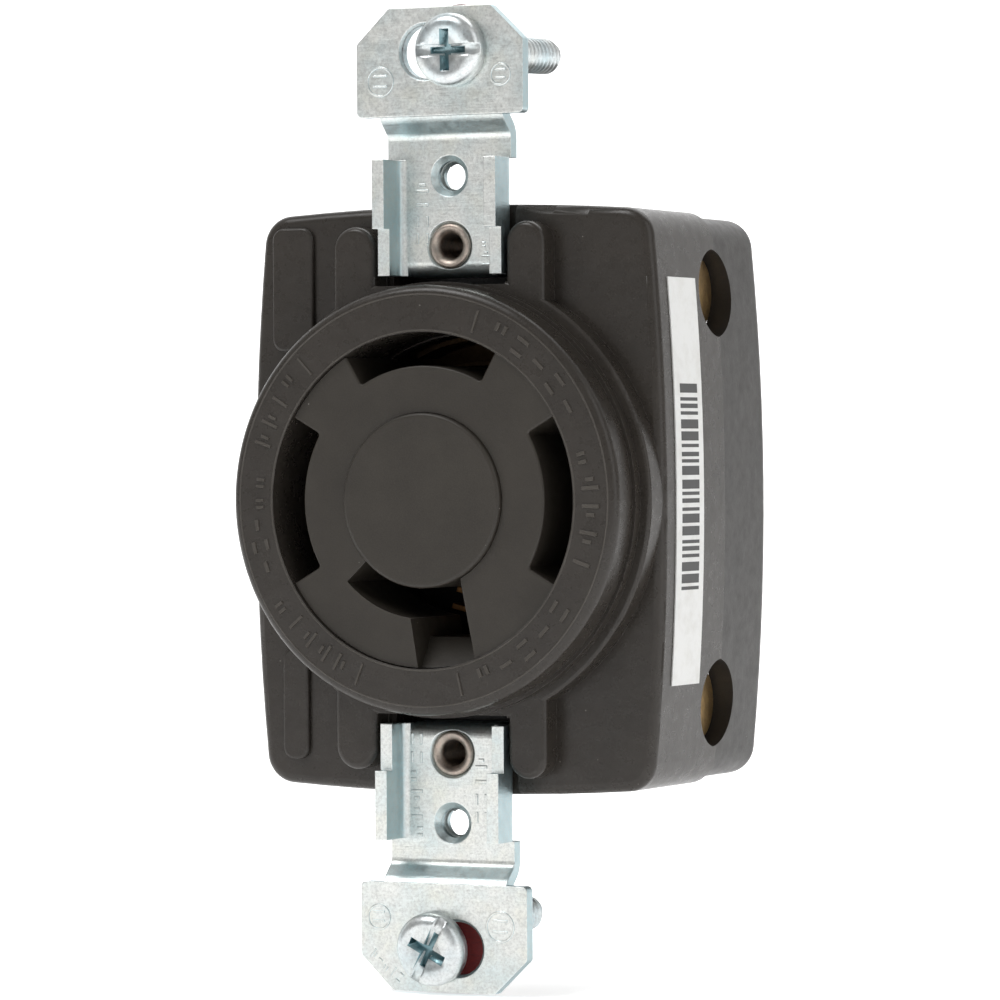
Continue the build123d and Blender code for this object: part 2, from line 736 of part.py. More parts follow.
# ---------------------------------------------------------------- label
with BuildPart() as side_label:
    with BuildSketch(at_depth(label_rear_y)):
        add(body_outline(front_half_width + label_thickness, front_half_height, corner_radius))
        add(body_outline(front_half_width, front_half_height, corner_radius), mode=Mode.SUBTRACT)
        with Locations((front_half_width, (label_low_z + label_high_z) / 2)):
            Rectangle(10, label_high_z - label_low_z, mode=Mode.INTERSECT)
    extrude(amount=label_rear_y - label_front_y)

save(side_label, "side_label")
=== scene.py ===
"""Looks for the flush locking receptacle: surfaces, thread ridges, generic marks, print, light and camera."""
import json
from math import cos, pi, radians, sin, sqrt

import bmesh
import bpy
from mathutils import Matrix, Vector


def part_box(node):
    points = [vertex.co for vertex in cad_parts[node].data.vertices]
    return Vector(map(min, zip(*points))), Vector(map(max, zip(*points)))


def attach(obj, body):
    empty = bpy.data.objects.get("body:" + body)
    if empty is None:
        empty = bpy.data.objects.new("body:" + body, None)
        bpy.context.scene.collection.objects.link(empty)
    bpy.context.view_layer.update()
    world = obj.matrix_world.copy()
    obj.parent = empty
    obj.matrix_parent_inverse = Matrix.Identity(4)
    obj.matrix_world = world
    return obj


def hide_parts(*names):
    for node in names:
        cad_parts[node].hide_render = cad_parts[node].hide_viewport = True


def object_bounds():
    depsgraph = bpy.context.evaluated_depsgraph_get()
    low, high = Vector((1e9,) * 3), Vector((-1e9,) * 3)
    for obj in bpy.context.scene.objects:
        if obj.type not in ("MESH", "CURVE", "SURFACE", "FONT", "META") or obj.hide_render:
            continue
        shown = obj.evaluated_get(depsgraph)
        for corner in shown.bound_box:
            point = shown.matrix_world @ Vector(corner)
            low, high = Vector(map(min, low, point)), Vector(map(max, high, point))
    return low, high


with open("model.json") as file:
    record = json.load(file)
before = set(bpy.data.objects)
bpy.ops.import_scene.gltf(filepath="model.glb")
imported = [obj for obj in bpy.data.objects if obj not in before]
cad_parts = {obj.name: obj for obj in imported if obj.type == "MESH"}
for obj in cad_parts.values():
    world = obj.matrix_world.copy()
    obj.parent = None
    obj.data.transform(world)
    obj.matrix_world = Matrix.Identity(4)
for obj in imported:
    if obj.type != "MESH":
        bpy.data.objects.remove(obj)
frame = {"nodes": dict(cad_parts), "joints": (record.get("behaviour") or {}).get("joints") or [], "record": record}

MM = 0.001
nodes = frame["nodes"]
joints = {joint["name"]: joint for joint in frame["joints"]}
mounts = {mount["name"]: mount for mount in frame["record"]["mounts"]}
cad_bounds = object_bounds()


# ---------------------------------------------------------------- surfaces
class Surface:
    """One procedural material. Lengths in it are millimetres in the part's own frame."""

    def __init__(self, name):
        self.material = bpy.data.materials.new(name)
        self.material.use_nodes = True
        self.tree = self.material.node_tree
        self.shader = self.tree.nodes["Principled BSDF"]
        scaled = self.node("ShaderNodeVectorMath", operation="SCALE")
        self.join(self.node("ShaderNodeTexCoord").outputs["Object"], scaled.inputs[0])
        scaled.inputs["Scale"].default_value = 1 / MM
        self.millimetres = scaled.outputs[0]

    def node(self, kind, **settings):
        made = self.tree.nodes.new(kind)
        for key, value in settings.items():
            setattr(made, key, value)
        return made

    def join(self, source, target):
        """Link a socket, or set a plain value."""
        if isinstance(source, bpy.types.NodeSocket):
            self.tree.links.new(source, target)
        else:
            target.default_value = source

    def noise(self, per_mm, detail=3.0, roughness=0.55, stretch=(1, 1, 1), shift=0.0):
        mapping = self.node("ShaderNodeMapping")
        self.join(self.millimetres, mapping.inputs["Vector"])
        mapping.inputs["Scale"].default_value = [per_mm * s for s in stretch]
        mapping.inputs["Location"].default_value = (shift, -shift, 2 * shift)
        texture = self.node("ShaderNodeTexNoise")
        self.join(mapping.outputs[0], texture.inputs["Vector"])
        texture.inputs["Scale"].default_value = 1
        texture.inputs["Detail"].default_value = detail
        texture.inputs["Roughness"].default_value = roughness
        return texture.outputs["Fac"]

    def remap(self, value, low, high, to_low=0.0, to_high=1.0):
        made = self.node("ShaderNodeMapRange")
        self.join(value, made.inputs["Value"])
        made.inputs["From Min"].default_value = low
        made.inputs["From Max"].default_value = high
        made.inputs["To Min"].default_value = to_low
        made.inputs["To Max"].default_value = to_high
        return made.outputs["Result"]

    def math(self, operation, first, second=0.0):
        made = self.node("ShaderNodeMath", operation=operation)
        self.join(first, made.inputs[0])
        self.join(second, made.inputs[1])
        return made.outputs[0]

    def join_colour(self, source, target):
        """Link a colour socket, or set a plain (r, g, b)."""
        self.join(source if isinstance(source, bpy.types.NodeSocket) else (*source, 1), target)

    def mix(self, factor, first, second):
        made = self.node("ShaderNodeMix", data_type="RGBA")
        self.join(factor, made.inputs["Factor"])
        self.join_colour(first, made.inputs["A"])
        self.join_colour(second, made.inputs["B"])
        return made.outputs["Result"]

    def specks(self, per_mm, radius, share):
        """Small round spots in a share of the cells."""
        scaled = self.node("ShaderNodeVectorMath", operation="SCALE")
        self.join(self.millimetres, scaled.inputs[0])
        scaled.inputs["Scale"].default_value = per_mm
        cells = self.node("ShaderNodeTexVoronoi")
        self.join(scaled.outputs[0], cells.inputs["Vector"])
        cells.inputs["Scale"].default_value = 1
        near = self.remap(cells.outputs["Distance"], radius * per_mm, radius * per_mm * 0.5)
        split = self.node("ShaderNodeSeparateColor")
        self.join(cells.outputs["Color"], split.inputs[0])
        chosen = self.math("LESS_THAN", split.outputs[0], share)
        return self.math("MULTIPLY", near, chosen)

    def rounded(self, radius, samples=6):
        """Normal with softened edges, and a mask that is 1 on the edges."""
        bevel = self.node("ShaderNodeBevel", samples=samples)
        bevel.inputs["Radius"].default_value = radius * MM
        dot = self.node("ShaderNodeVectorMath", operation="DOT_PRODUCT")
        self.join(bevel.outputs[0], dot.inputs[0])
        self.join(self.node("ShaderNodeNewGeometry").outputs["Normal"], dot.inputs[1])
        return bevel.outputs[0], self.remap(dot.outputs["Value"], 0.995, 0.80)

    def turned_away(self, facing, away, most):
        """0 where the surface faces the front of the part, rising to `most` where it bends away."""
        split = self.node("ShaderNodeSeparateXYZ")
        self.join(self.node("ShaderNodeNewGeometry").outputs["Normal"], split.inputs[0])
        return self.remap(self.math("ABSOLUTE", split.outputs["Y"]), facing, away, 0, most)

    def relief(self, height, depth, normal=None):
        """Bump of a given depth in millimetres, laid over another normal."""
        bump = self.node("ShaderNodeBump")
        bump.inputs["Strength"].default_value = 1
        bump.inputs["Distance"].default_value = depth * MM
        self.join(height, bump.inputs["Height"])
        if normal is not None:
            self.join(normal, bump.inputs["Normal"])
        return bump.outputs[0]

    def finish(self, colour, roughness, normal, metallic=0.0, **constants):
        self.join_colour(colour, self.shader.inputs["Base Color"])
        self.join(roughness, self.shader.inputs["Roughness"])
        self.join(normal, self.shader.inputs["Normal"])
        self.shader.inputs["Metallic"].default_value = metallic
        for key, value in constants.items():
            self.shader.inputs[key].default_value = value
        return self


def moulded(name, dark, light, roughness, edge_radius=0.10, speck_share=0.16, grain=0.012):
    """Compression-moulded phenolic: cloudy, finely grained, with pale specks, and rubbed edges lightened partly
    for wear and partly as a painted highlight.
    """
    made = Surface(name)
    cloud = made.remap(made.noise(0.16, detail=4, roughness=0.6), 0.3, 0.7)
    colour = made.mix(cloud, dark, light)
    fine = made.noise(7.0, detail=2, roughness=0.6, shift=3)
    colour = made.mix(made.remap(fine, 0.35, 0.75, 0, 0.35), colour, [1.5 * c for c in light])
    specks = made.specks(per_mm=0.75, radius=0.075, share=speck_share)
    colour = made.mix(made.math("MULTIPLY", specks, 0.8), colour, (0.26, 0.24, 0.22))
    edges = made.rounded(edge_radius)[1]
    wear = made.remap(made.noise(1.6, detail=4, roughness=0.7, shift=7), 0.35, 0.7)
    # Lighter edges: partly rubbing wear, partly a painted highlight
    rubbed_and_highlit_edges = made.math("MULTIPLY", edges, wear)
    colour = made.mix(made.math("MULTIPLY", rubbed_and_highlit_edges, 0.55), colour, (0.20, 0.19, 0.18))
    smears = made.noise(0.9, detail=4, roughness=0.6, shift=11)
    uneven = made.remap(smears, 0.25, 0.75, roughness - 0.06, roughness + 0.09)
    uneven = made.math("ADD", uneven, made.math("MULTIPLY", rubbed_and_highlit_edges, 0.08))
    normal = made.relief(made.noise(0.35, detail=2, roughness=0.5, shift=5), 0.05)
    normal = made.relief(made.noise(4.5, detail=3, roughness=0.65), grain, normal)
    return made.finish(colour, uneven, normal, **{"IOR": 1.55, "Specular IOR Level": 0.3})


def plated(
    name, base, tint, warm, roughness, grain_axis=(1, 1, 1), grain=0.012, patches=0.22, bend_shade=None
):
    """Bright zinc on rolled steel: soft blue and straw tints, a fine sparkle and rolled grain, with painted shade
    on bends and a painted highlight on edges.
    """
    made = Surface(name)
    blue = made.remap(made.noise(patches, detail=3, roughness=0.55, shift=2), 0.42, 0.72, 0, 0.75)
    straw = made.remap(made.noise(1.6 * patches, detail=3, roughness=0.5, shift=9), 0.5, 0.75, 0, 0.5)
    colour = made.mix(blue, base, tint)
    colour = made.mix(straw, colour, warm)
    # Painted shade: a dark blue-grey where the surface turns away from the front, on bends and side faces
    if bend_shade:
        colour = made.mix(made.turned_away(0.96, 0.55, 0.85), colour, bend_shade)
    normal, edges = made.rounded(0.16)
    # Painted highlight: a lighter colour along the edges
    edge_highlight_colour = [min(1.0, 1.25 * c) for c in base]
    colour = made.mix(made.math("MULTIPLY", edges, 0.35), colour, edge_highlight_colour)
    sparkle = made.remap(made.noise(3.6, detail=4, roughness=0.75, shift=19), 0.42, 0.66, 0, 0.55)
    colour = made.mix(sparkle, colour, [0.55 * c for c in base])
    dirt = made.remap(made.noise(2.2, detail=5, roughness=0.7, shift=13), 0.58, 0.80, 0, 0.30)
    colour = made.mix(dirt, colour, [0.45 * c for c in warm])
    smears = made.noise(1.3, detail=4, roughness=0.6, shift=17)
    uneven = made.remap(smears, 0.3, 0.7, roughness - 0.07, roughness + 0.09)
    normal = made.relief(made.noise(1.0, detail=3, roughness=0.6, stretch=grain_axis, shift=1), grain, normal)
    normal = made.relief(made.noise(4.5, detail=3, roughness=0.7, shift=4), grain, normal)
    return made.finish(colour, uneven, normal, metallic=1.0)


# Colours of a moulding: its dark and light clouds
phenolic = moulded("phenolic", (0.0225, 0.0190, 0.0158), (0.0335, 0.0285, 0.0238), 0.28)
insert_phenolic = moulded("phenolic_insert", (0.0240, 0.0203, 0.0160), (0.0340, 0.0290, 0.0230), 0.42)
mark_phenolic = moulded("phenolic_marks", (0.0400, 0.0345, 0.0280), (0.0560, 0.0490, 0.0410), 0.38)
rear_phenolic = moulded("phenolic_rear", (0.0170, 0.0147, 0.0128), (0.0250, 0.0216, 0.0188), 0.36)
carrier = moulded("phenolic_carrier", (0.010, 0.0090, 0.0080), (0.016, 0.0135, 0.0115), 0.5, speck_share=0.03)

# Colours of a metal: its base, its cool patches and its warm patches
zinc = plated(
    "zinc_plate", (0.87, 0.885, 0.855), (0.68, 0.79, 0.80), (0.86, 0.84, 0.73), 0.36,
    # Last colour: painted blue-grey shade where the steel turns away from the front
    grain_axis=(0.6, 0.6, 7), bend_shade=(0.34, 0.48, 0.52),
)
bright = plated("zinc_screw", (0.74, 0.765, 0.765), (0.52, 0.66, 0.70), (0.70, 0.70, 0.64), 0.33, grain=0.006)
# Drive recess of the screw heads: the same zinc, darkened as painted shade
painted_recess_shade = plated("zinc_painted_recess_shade", (0.22, 0.34, 0.37), (0.12, 0.24, 0.28), (0.42, 0.46, 0.44), 0.32, grain=0.014)
thread_steel = plated("zinc_thread", (0.34, 0.36, 0.35), (0.24, 0.30, 0.32), (0.36, 0.34, 0.28), 0.34)
nickel = plated(
    "eyelet_nickel", (0.50, 0.43, 0.37), (0.26, 0.24, 0.22), (0.56, 0.42, 0.36), 0.42,
    grain=0.02, patches=1.1,
)
clamp_steel = plated("clamp_steel", (0.40, 0.39, 0.37), (0.32, 0.34, 0.34), (0.42, 0.38, 0.32), 0.42)
brass = plated("terminal_brass", (0.42, 0.28, 0.13), (0.34, 0.23, 0.12), (0.50, 0.34, 0.14), 0.38)
contact_brass = plated("contact_brass", (0.40, 0.20, 0.08), (0.30, 0.15, 0.06), (0.48, 0.26, 0.10), 0.40)
# The three contacts set deep in their slots: brass darkened with painted shade
shaded_contact_brass = plated(
    "contact_brass_painted_shade", (0.070, 0.045, 0.026), (0.050, 0.034, 0.022), (0.085, 0.055, 0.030), 0.55
)


def fibre():
    """Vulcanised fibre: dull dark red with short matted fibres."""
    made = Surface("red_fibre")
    mat = made.noise(5.0, detail=4, roughness=0.65, stretch=(0.35, 1, 1.6))
    colour = made.mix(made.remap(mat, 0.3, 0.7), (0.105, 0.006, 0.007), (0.20, 0.014, 0.013))
    normal, edges = made.rounded(0.12)
    # Painted highlight: a lighter red along the edges
    colour = made.mix(made.math("MULTIPLY", edges, 0.4), colour, (0.32, 0.06, 0.05))
    normal = made.relief(mat, 0.03, normal)
    return made.finish(colour, made.remap(mat, 0.3, 0.7, 0.55, 0.72), normal)


def film(name, light, dark, roughness):
    """Printed film: faint calendered grain and a little handling dirt."""
    made = Surface(name)
    dirt = made.remap(made.noise(0.5, detail=5, roughness=0.65), 0.45, 0.85)
    colour = made.mix(dirt, light, dark)
    normal = made.relief(made.noise(3.0, detail=3, roughness=0.6, stretch=(1, 1, 0.3)), 0.006)
    return made.finish(colour, made.remap(dirt, 0, 1, roughness, roughness + 0.15), normal)


red_fibre = fibre()
label_film = film("label_film", (0.70, 0.70, 0.685), (0.58, 0.57, 0.54), 0.40)
label_ink = film("label_ink", (0.022, 0.022, 0.022), (0.05, 0.048, 0.045), 0.42)


def dress(surface, *names):
    for name in names:
        for place in nodes[name].material_slots:
            place.material = surface.material


dress(phenolic, "front_housing")
dress(insert_phenolic, "face_insert", "centre_core")
dress(rear_phenolic, "rear_housing")
dress(carrier, "contact_carrier")
dress(zinc, "upper_mounting_ear", "lower_mounting_ear")
dress(nickel, "upper_eyelet", "lower_eyelet")
dress(red_fibre, "upper_fibre_washer", "lower_fibre_washer")
dress(label_film, "side_label")
dress(shaded_contact_brass, "upper_contact", "left_contact", "right_contact")
dress(contact_brass, "neutral_contact")
for end in ("upper", "lower"):
    for side in ("left", "right"):
        dress(brass, f"{end}_{side}_terminal_screw")
        dress(clamp_steel, f"{end}_{side}_wire_clamp")


# ---------------------------------------------------------------- pieces
def build(name, mesh, surfaces, body, smooth_angle=35):
    """Make an object from mesh code, shade it and hang it on its body."""
    data = bpy.data.meshes.new(name)
    bmesh.ops.recalc_face_normals(mesh, faces=mesh.faces)
    mesh.to_mesh(data)
    mesh.free()
    for surface in surfaces:
        data.materials.append(surface.material)
    data.shade_smooth()
    made = bpy.data.objects.new(name, data)
    bpy.context.scene.collection.objects.link(made)
    data.set_sharp_from_angle(angle=radians(smooth_angle))
    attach(made, body)
    return made


def raised_patch(mesh, place, u_range, v_range, height, slopes, steps=1, sunk=0.02, closed=False):
    """A low bar with sloping sides; closed, it runs all the way round and has no ends.

    place(u, v, h) gives the point at height h over the surface. slopes are how far the sides lean in
    u and v, and sunk is how far the foot goes under the surface.
    """
    (u_low, u_high), (v_low, v_high) = u_range, v_range
    slope_u, slope_v = slopes
    rows = []
    for step in range(steps if closed else steps + 1):
        share = step / steps
        foot = u_low + (u_high - u_low) * share
        top = u_low + slope_u + (u_high - u_low - 2 * slope_u) * share
        rows.append([
            mesh.verts.new(place(foot, v_low, -sunk)),
            mesh.verts.new(place(top, v_low + slope_v, height)),
            mesh.verts.new(place(top, v_high - slope_v, height)),
            mesh.verts.new(place(foot, v_high, -sunk)),
        ])
    followers = rows[1:] + rows[:1] if closed else rows[1:]
    for first, second in zip(rows, followers):
        for k in range(3):
            mesh.faces.new((first[k], first[k + 1], second[k + 1], second[k]))
    if not closed:
        mesh.faces.new(rows[0])
        mesh.faces.new(list(reversed(rows[-1])))


# Strokes of each generic mark, as shares of its cell: across from, to, up from, to. They spell nothing.
MARKS = {
    "long": ((0.36, 0.64, 0.0, 1.0),),
    "low": ((0.1, 0.38, 0.0, 0.5), (0.62, 0.9, 0.0, 0.5)),
    "high": ((0.1, 0.38, 0.5, 1.0), (0.62, 0.9, 0.5, 1.0)),
    "step": ((0.1, 0.38, 0.0, 1.0), (0.62, 0.9, 0.25, 0.75)),
    "lean": ((0.1, 0.38, 0.25, 0.75), (0.62, 0.9, 0.0, 1.0)),
    "dash": ((0.05, 0.95, 0.38, 0.62),),
    "wide": ((0.05, 0.95, 0.0, 0.24), (0.05, 0.95, 0.76, 1.0)),
}
MARK_CYCLE = ("step", "dash", "low", "long", "wide", "lean", "high", "dash", "step", "wide", "low")


def mark(mesh, place, centre, width, low, high, kind, height, slopes, steps=2):
    """One generic mark in its cell; slopes are how far its sides lean, along u and v."""
    for left, right, bottom, top in MARKS[kind]:
        u_range = (centre + (left - 0.5) * width, centre + (right - 0.5) * width)
        v_range = (low + bottom * (high - low), low + top * (high - low))
        raised_patch(mesh, place, u_range, v_range, height, slopes, steps)


# ---------------------------------------------------------------- generic raised marks on the round face
face_y = -5.4
mark_inner_radius = 16.45
mark_outer_radius = 18.25
mark_height = 0.14
mark_slopes = (0.18, 0.06)
mark_fill = 0.62  # of a mark's share of the ring
end_bar_half_angle = 0.45
end_bar_overlap = 0.2
blank_cells = (5, 11)
bore_line = (15.60, 15.80, 0.05)
rim_line = (18.92, 19.12, 0.06)


def on_face(u, v, h):
    """u: degrees clockwise from the top, v: radius, h: height over the round face."""
    turn = radians(90 - u)
    return Vector((v * cos(turn), face_y - h, v * sin(turn))) * MM


ring = bmesh.new()
for first, last, count in ((24, 162, 17), (206, 312, 16)):
    step = (last - first) / count
    for end in (first - step * 0.6, last + step * 0.6):
        across = (end - end_bar_half_angle, end + end_bar_half_angle)
        along = (mark_inner_radius - end_bar_overlap, mark_outer_radius + end_bar_overlap)
        raised_patch(ring, on_face, across, along, mark_height, mark_slopes)
    for k in range(count):
        if k in blank_cells:
            continue
        kind = MARK_CYCLE[(3 * k + count) % len(MARK_CYCLE)]
        centre = first + step * (k + 0.5)
        width = step * mark_fill
        mark(
            ring, on_face, centre, width, mark_inner_radius, mark_outer_radius, kind,
            mark_height, mark_slopes, steps=3,
        )
build("face_marks", ring, [mark_phenolic], "receptacle")

# Fine moulded lines round the bore and just inside the rim of the face
lines = bmesh.new()
for inner, outer, line_height in (bore_line, rim_line):
    raised_patch(lines, on_face, (0, 360), (inner, outer), line_height, (0.0, 0.07), steps=144, closed=True)
build("face_lines", lines, [mark_phenolic], "receptacle")


# ---------------------------------------------------------------- stamped marks on the ears
ear_face_y = -1.2
channel_face_y = 0.8
stamp_height = 0.06
stamp_slopes = (0.04, 0.04)


def ring_stamp(mesh, x, z, radius, surface_y, stroke=0.24, steps=40):
    """A raised ring with two short bars inside."""
    def around(u, v, h):
        return Vector((x + v * cos(u), surface_y - h, z + v * sin(u))) * MM

    band = (radius - stroke, radius)
    raised_patch(mesh, around, (0, 2 * pi), band, stamp_height, (0.0, stamp_slopes[1]), steps, closed=True)

    def flat(u, v, h):
        return Vector((x + u, surface_y - h, z + v)) * MM

    bar_half_length = radius * 0.52
    for bar_foot in (-0.38 * radius, 0.30 * radius):
        bar = (bar_foot, bar_foot + stroke)
        raised_patch(mesh, flat, (-bar_half_length, bar_half_length), bar, stamp_height, stamp_slopes)


def column_stamp(mesh, x, z_low, z_high, width, surface_y, count):
    """A column of generic marks turned on their sides."""
    step = (z_high - z_low) / count

    def turned(u, v, h):
        return Vector((x + v, surface_y - h, u)) * MM

    for k in range(count):
        kind = MARK_CYCLE[(5 * k + count) % len(MARK_CYCLE)]
        centre = z_low + step * (k + 0.5)
        mark(mesh, turned, centre, step * 0.7, -width / 2, width / 2, kind, stamp_height, stamp_slopes)


upper = bmesh.new()
ring_stamp(upper, -6.2, 39.0, 1.45, ear_face_y)
ring_stamp(upper, 6.3, 39.3, 1.1, ear_face_y)
column_stamp(upper, -2.85, 23.6, 29.9, 1.35, channel_face_y, 4)
column_stamp(upper, 3.75, 21.4, 24.2, 0.9, channel_face_y, 3)
build("upper_ear_stamps", upper, [zinc], "receptacle")

lower = bmesh.new()
ring_stamp(lower, -6.77, -39.0, 1.25, ear_face_y)
ring_stamp(lower, 5.85, -39.5, 1.5, ear_face_y)
column_stamp(lower, -3.75, -31.9, -21.5, 1.25, channel_face_y, 6)
column_stamp(lower, 3.0, -30.4, -23.7, 1.25, channel_face_y, 4)


corner_x, corner_z = -7.9, -42.6
corner_run, corner_drop = 0.78, 0.62  # direction of the cut corner, a unit vector to two places
corner_mark_pitch = 0.85


def along_corner(u, v, h):
    """u: millimetres along the lower left cut corner, v: inwards from it."""
    x = corner_x + corner_run * u + corner_drop * v
    z = corner_z - corner_drop * u + corner_run * v
    return Vector((x, ear_face_y - h, z)) * MM


for k in range(5):
    centre = 0.4 + corner_mark_pitch * k
    mark(lower, along_corner, centre, 0.6, 0, 1.0, MARK_CYCLE[k], stamp_height, stamp_slopes)
build("lower_ear_stamps", lower, [zinc], "receptacle")


# ---------------------------------------------------------------- print on the label
label_low, label_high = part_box("side_label")
label_middle_y = (label_low.y + label_high.y) / 2 / MM
front_half_width = 21.45
side_bow = 1.4
body_corner_z = 26.7
side_radius = (body_corner_z ** 2 + side_bow ** 2) / (2 * side_bow)
label_thickness = 0.12


def on_label(u, v, h):
    """u: height Z, v: across the label, h: over its surface; the side bows outwards."""
    bow = side_radius - sqrt(side_radius ** 2 - u ** 2)
    return Vector((front_half_width + label_thickness - bow + h, label_middle_y + v, u)) * MM


print_low_z, print_high_z = -8.4, 10.9
print_across = (-1.85, 2.0)
print_height = 0.012
print_edge = 0.004  # slope of a bar's sides, and how far its foot goes under the film
BAR_WIDTHS = (0.32, 0.55, 0.28, 0.85, 0.42)
BAR_GAPS = (0.30, 0.42, 0.26)
bars = bmesh.new()
z = print_low_z
for k in range(25):
    thick = BAR_WIDTHS[(k * k + 2 * k) % len(BAR_WIDTHS)]
    gap = BAR_GAPS[(k * 2) % len(BAR_GAPS)]
    if z + thick > print_high_z:
        break
    slopes = (print_edge, print_edge)
    raised_patch(bars, on_label, (z, z + thick), print_across, print_height, slopes, sunk=print_edge)
    z += thick + gap
build("label_print", bars, [label_ink], "receptacle")


# ---------------------------------------------------------------- screws with real threads
pitch = 0.79375
thread_depth = 0.37
root_flat = 0.16
flank = 0.66
nose_length = 1.2
nose_radius_share = 0.35
thread_sides = 44
rows_per_pitch = 10

# Depths and radius, from the seat of the head outwards, inside which a face belongs to the drive recess
drive_radius = 1.95
cross_top = 1.70
slot_floor = 0.92
seat_clearance = 0.1
shank_start = 0.02
weld_distance = 0.002


def thread_radius(turns, root, crest):
    """Radius of a 60 degree thread with flats, a fraction of a turn along its pitch."""
    part = turns % 1.0
    rise = min(part, 1 - part) * 2
    return root + (crest - root) * min(1.0, max(0.0, (rise - root_flat) / flank))


def in_recess(face, seat, outward):
    """Whether a face of the head lies in the slot or the cross."""
    inwards = [vert.co - seat for vert in face.verts]
    depth = sum(v.dot(outward) for v in inwards) / len(inwards) / MM
    radius = sum((v - outward * v.dot(outward)).length for v in inwards) / len(inwards) / MM
    in_cross = face.normal.dot(outward) < 0.9 and depth < cross_top
    in_floor = depth < slot_floor
    return radius < drive_radius and depth > seat_clearance and (in_cross or in_floor)


def threaded_screw(name, source, joint_name):
    """The CAD screw's head, kept as it is, on a shank with a cut thread."""
    joint = joints[joint_name]
    seat = Vector(joint["pos_m"])
    outward = Vector(joint["axis"]).normalized()
    sideways = Vector((1, 0, 0))
    upright = outward.cross(sideways).normalized()
    screw = bmesh.new()
    screw.from_mesh(nodes[source].data)
    tip = max((seat - vert.co).dot(outward) for vert in screw.verts)
    crest = max(
        ((vert.co - seat) - outward * (vert.co - seat).dot(outward)).length
        for vert in screw.verts if (seat - vert.co).dot(outward) > tip / 2
    )
    shank = [
        face for face in screw.faces
        if (seat - face.calc_center_median()).dot(outward) > shank_start * MM
    ]
    bmesh.ops.delete(screw, geom=shank, context="FACES")
    bmesh.ops.remove_doubles(screw, verts=screw.verts, dist=weld_distance * MM)
    for face in screw.faces:
        face.material_index = 1 if in_recess(face, seat, outward) else 0
    root = crest - thread_depth * MM
    rows = int(tip / MM / pitch * rows_per_pitch)
    rings = []
    for row in range(rows + 1):
        depth = tip * row / rows
        left = (tip - depth) / MM
        nose = sqrt(1 - (1 - left / nose_length) ** 2) if left < nose_length else 1.0
        taper = nose_radius_share + (1 - nose_radius_share) * nose
        loop = []
        for k in range(thread_sides):
            turn = 2 * pi * k / thread_sides
            radius = thread_radius(depth / MM / pitch + k / thread_sides, root, crest) * taper
            offset = sideways * (radius * cos(turn)) + upright * (radius * sin(turn))
            loop.append(screw.verts.new(seat - outward * depth + offset))
        rings.append(loop)
    for first, second in zip(rings, rings[1:]):
        for k in range(thread_sides):
            other = (k + 1) % thread_sides
            screw.faces.new((first[k], first[other], second[other], second[k]))
    screw.faces.new(rings[-1])
    made = build(name, screw, [bright, painted_recess_shade], joint["child"], 38)
    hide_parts(source)


threaded_screw("upper_screw_threaded", "upper_mounting_screw", "upper_screw_turn")
threaded_screw("lower_screw_threaded", "lower_mounting_screw", "lower_screw_turn")


# ---------------------------------------------------------------- thread ridges in the cover plate holes
cover = mounts["cover_plate_holes"]
half_spacing = cover["dims"]["spacing_y_mm"] / 2
hole_radius = cover["dims"]["hole_r_mm"]
thread_start_y, thread_end_y = 1.7, 2.78
ridge_half_width = 0.3
ridge_height = 0.2
ridge_sunk = 0.03
ridge_steps = 90
for end, side in (("upper", 1), ("lower", -1)):
    ridge = bmesh.new()
    loops = []
    for step in range(ridge_steps + 1):
        share = step / ridge_steps
        turn = 2 * pi * share * (thread_end_y - thread_start_y) / pitch
        y = thread_start_y + (thread_end_y - thread_start_y) * share
        loop = []
        foot = hole_radius + ridge_sunk
        profile = ((foot, -ridge_half_width), (hole_radius - ridge_height, 0.0), (foot, ridge_half_width))
        for radius, shift in profile:
            spot = (radius * cos(turn), y + shift, side * half_spacing + radius * sin(turn))
            loop.append(ridge.verts.new(Vector(spot) * MM))
        loops.append(loop)
    for first, second in zip(loops, loops[1:]):
        for k in range(3):
            other = (k + 1) % 3
            ridge.faces.new((first[k], first[other], second[other], second[k]))
    ridge.faces.new(loops[0])
    ridge.faces.new(list(reversed(loops[-1])))
    build(f"{end}_cover_hole_thread", ridge, [thread_steel], "receptacle")


# ---------------------------------------------------------------- studio
view_azimuth = radians(26.325)
view_elevation = radians(0.590)
view_roll = radians(-0.292)
view_distance = 0.4804
focal_length_in_widths = 5.1613
aim_sideways = 0.004915
aim = Vector((aim_sideways * cos(view_azimuth), aim_sideways * sin(view_azimuth), -0.000043))

outward = Vector((
    sin(view_azimuth) * cos(view_elevation),
    -cos(view_azimuth) * cos(view_elevation),
    sin(view_elevation),
))
level_right = Vector((cos(view_azimuth), sin(view_azimuth), 0))
level_up = level_right.cross(-outward)
right = level_right * cos(view_roll) + level_up * sin(view_roll)
up = level_up * cos(view_roll) - level_right * sin(view_roll)
camera_data = bpy.data.cameras.new("camera")
camera_data.sensor_width = 36
camera_data.lens = camera_data.sensor_width * focal_length_in_widths
camera_data.clip_start = 0.01
camera = bpy.data.objects.new("camera", camera_data)
bpy.context.scene.collection.objects.link(camera)
turned_camera = Matrix((right, up, outward)).transposed().to_4x4()
camera.matrix_world = Matrix.Translation(aim + outward * view_distance) @ turned_camera
bpy.context.scene.camera = camera


stage_front = -1.2
stage_bend_start = 0.5
stage_bend_radius = 0.35
stage_bend_steps = 16
stage_height = 1.6
stage_half_width = 1.6
stage_gap = 0.0002  # under the part
stage_glow = 0.52


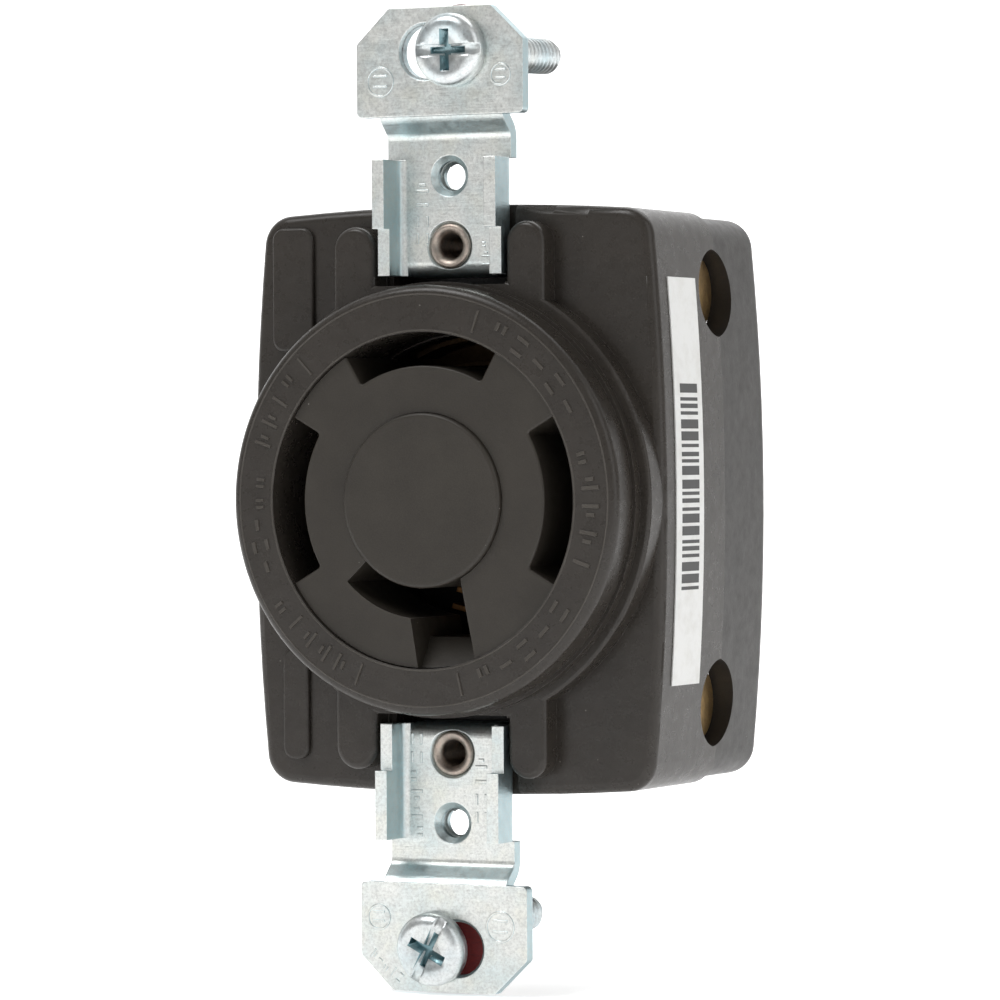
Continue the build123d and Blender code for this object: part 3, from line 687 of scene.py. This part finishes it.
def sweep():
    """Pale floor that curves up into a backdrop behind the part."""
    paper = Surface("studio_paper")
    cloud = paper.remap(paper.noise(0.02, detail=2), 0.3, 0.7)
    tone = paper.mix(cloud, (0.90, 0.90, 0.90), (0.93, 0.93, 0.93))
    paper.finish(tone, 0.9, paper.relief(paper.noise(0.8, detail=3), 0.02))
    paper.shader.inputs["Emission Color"].default_value = (1, 1, 1, 1)
    paper.shader.inputs["Emission Strength"].default_value = stage_glow
    floor_z = cad_bounds[0][2] - stage_gap
    back = Vector((-sin(view_azimuth), cos(view_azimuth), 0))
    profile = [(stage_front, floor_z), (stage_bend_start, floor_z)]
    for step in range(1, stage_bend_steps + 1):
        turn = pi / 2 * step / stage_bend_steps
        rise = stage_bend_radius * (1 - cos(turn))
        profile.append((stage_bend_start + stage_bend_radius * sin(turn), floor_z + rise))
    profile.append((stage_bend_start + stage_bend_radius, stage_height))
    mesh = bmesh.new()
    rows = []
    for along, height in profile:
        row = []
        for across in (-stage_half_width, stage_half_width):
            spot = back * along + level_right * across + Vector((0, 0, height))
            row.append(mesh.verts.new(spot))
        rows.append(row)
    for first, second in zip(rows, rows[1:]):
        mesh.faces.new((first[0], first[1], second[1], second[0]))
    data = bpy.data.meshes.new("studio_sweep")
    mesh.to_mesh(data)
    mesh.free()
    data.materials.append(paper.material)
    data.shade_smooth()
    made = bpy.data.objects.new("studio_sweep", data)
    bpy.context.scene.collection.objects.link(made)


sweep()


def softbox(name, azimuth, elevation, distance, width, height, power):
    """Area light that faces the part from a direction given in degrees; azimuth 0 is straight in front."""
    turn, lift = radians(azimuth), radians(elevation)
    direction = Vector((sin(turn) * cos(lift), -cos(turn) * cos(lift), sin(lift)))
    data = bpy.data.lights.new(name, "AREA")
    data.shape = "RECTANGLE"
    data.size = width
    data.size_y = height
    data.energy = power
    made = bpy.data.objects.new(name, data)
    bpy.context.scene.collection.objects.link(made)
    made.location = direction * distance
    made.rotation_euler = direction.to_track_quat("Z", "Y").to_euler()


lamp_distance = 0.9
softbox("key_top_left", azimuth=-35, elevation=55, distance=lamp_distance, width=0.4, height=0.4, power=3.4)
softbox("fill_right", azimuth=75, elevation=20, distance=lamp_distance, width=0.5, height=0.9, power=1.5)
softbox("top_back", azimuth=170, elevation=60, distance=lamp_distance, width=0.8, height=0.6, power=3.0)

sky_strength = 0.36
world = bpy.data.worlds.new("studio")
world.use_nodes = True
world.node_tree.nodes["Background"].inputs["Color"].default_value = (1, 1, 1, 1)
world.node_tree.nodes["Background"].inputs["Strength"].default_value = sky_strength
bpy.context.scene.world = world
bpy.context.scene.view_settings.view_transform = "Standard"
